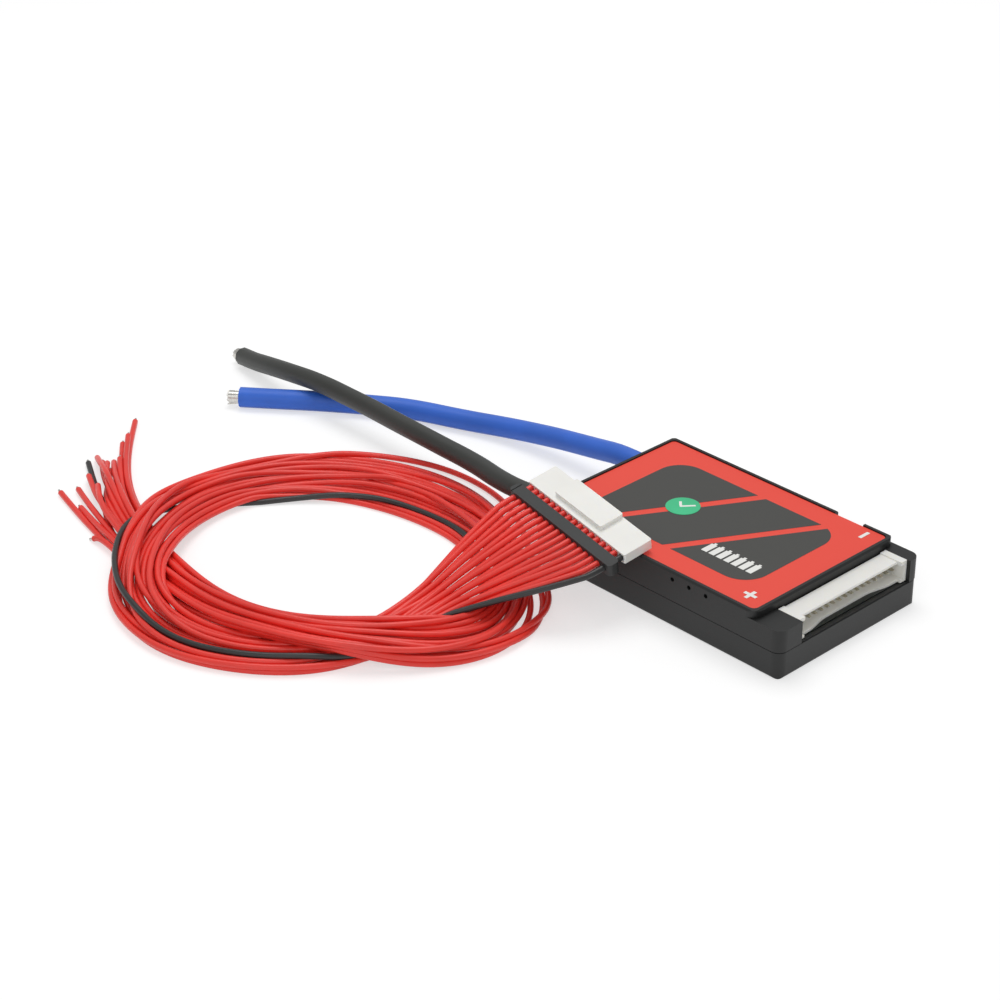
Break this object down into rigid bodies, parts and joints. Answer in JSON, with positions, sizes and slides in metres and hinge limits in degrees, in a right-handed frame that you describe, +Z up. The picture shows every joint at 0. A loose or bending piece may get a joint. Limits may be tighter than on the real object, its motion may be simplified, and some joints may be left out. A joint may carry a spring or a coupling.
{
  "type": "battery management board",
  "caption": "Flat black case with a red label, a side socket for the balance plug, two power leads and a coiled balance harness with a plug and comb.",
  "frame": {"origin": "centre of the case's underside, on the surface it lies on", "axes": "+X along the case towards the balance socket, +Y across it away from the harness, +Z up out of the label"},
  "size_m": [0.2538, 0.1692, 0.0265],
  "materials": {
    "black_abs": "injection-moulded, fine satin texture",
    "plate_aluminium": "extruded and milled",
    "screw_steel": "zinc plated",
    "pad_silicone": "soft filled silicone sheet",
    "label_film": "printed polyester film, satin laminate",
    "badge_film": "printed paper disc, satin",
    "board_laminate": "black solder mask on glass laminate",
    "chip_epoxy": "moulded epoxy",
    "capacitor_can": "drawn can",
    "tinned_copper": "tinned",
    "white_nylon": "natural white nylon",
    "contact_brass": "tinned brass strip",
    "comb_black": "moulded, matt",
    "blue_silicone": "soft silicone insulation",
    "black_silicone": "soft silicone insulation",
    "red_pvc": "extruded PVC insulation",
    "black_pvc": "extruded PVC insulation"
  },
  "bodies": {
    "root": {"lower_shell": "black_abs", "upper_shell": "black_abs", "heat_plate": "plate_aluminium", "plate_screws": "screw_steel", "thermal_pads": "pad_silicone", "face_label": "label_film", "check_badge": "badge_film", "circuit_board": "board_laminate", "charge_transistors": "chip_epoxy", "discharge_transistors": "chip_epoxy", "shunt_resistors": "chip_epoxy", "monitor_chip": "chip_epoxy", "balance_resistors": "chip_epoxy", "filter_capacitors": "capacitor_can", "lead_solder": "tinned_copper", "header_housing": "white_nylon", "header_pins": "contact_brass", "plug_housing": "white_nylon", "plug_terminals": "contact_brass", "wire_comb": "comb_black", "blue_lead": "blue_silicone", "blue_conductor": "tinned_copper", "black_lead": "black_silicone", "black_conductor": "tinned_copper", "fan_red_wires": "red_pvc", "fan_black_wire": "black_pvc", "wire_coil": "red_pvc", "tail_red_wires": "red_pvc", "tail_black_wire": "black_pvc", "wire_tips": "tinned_copper"}
  },
  "joints": []
}
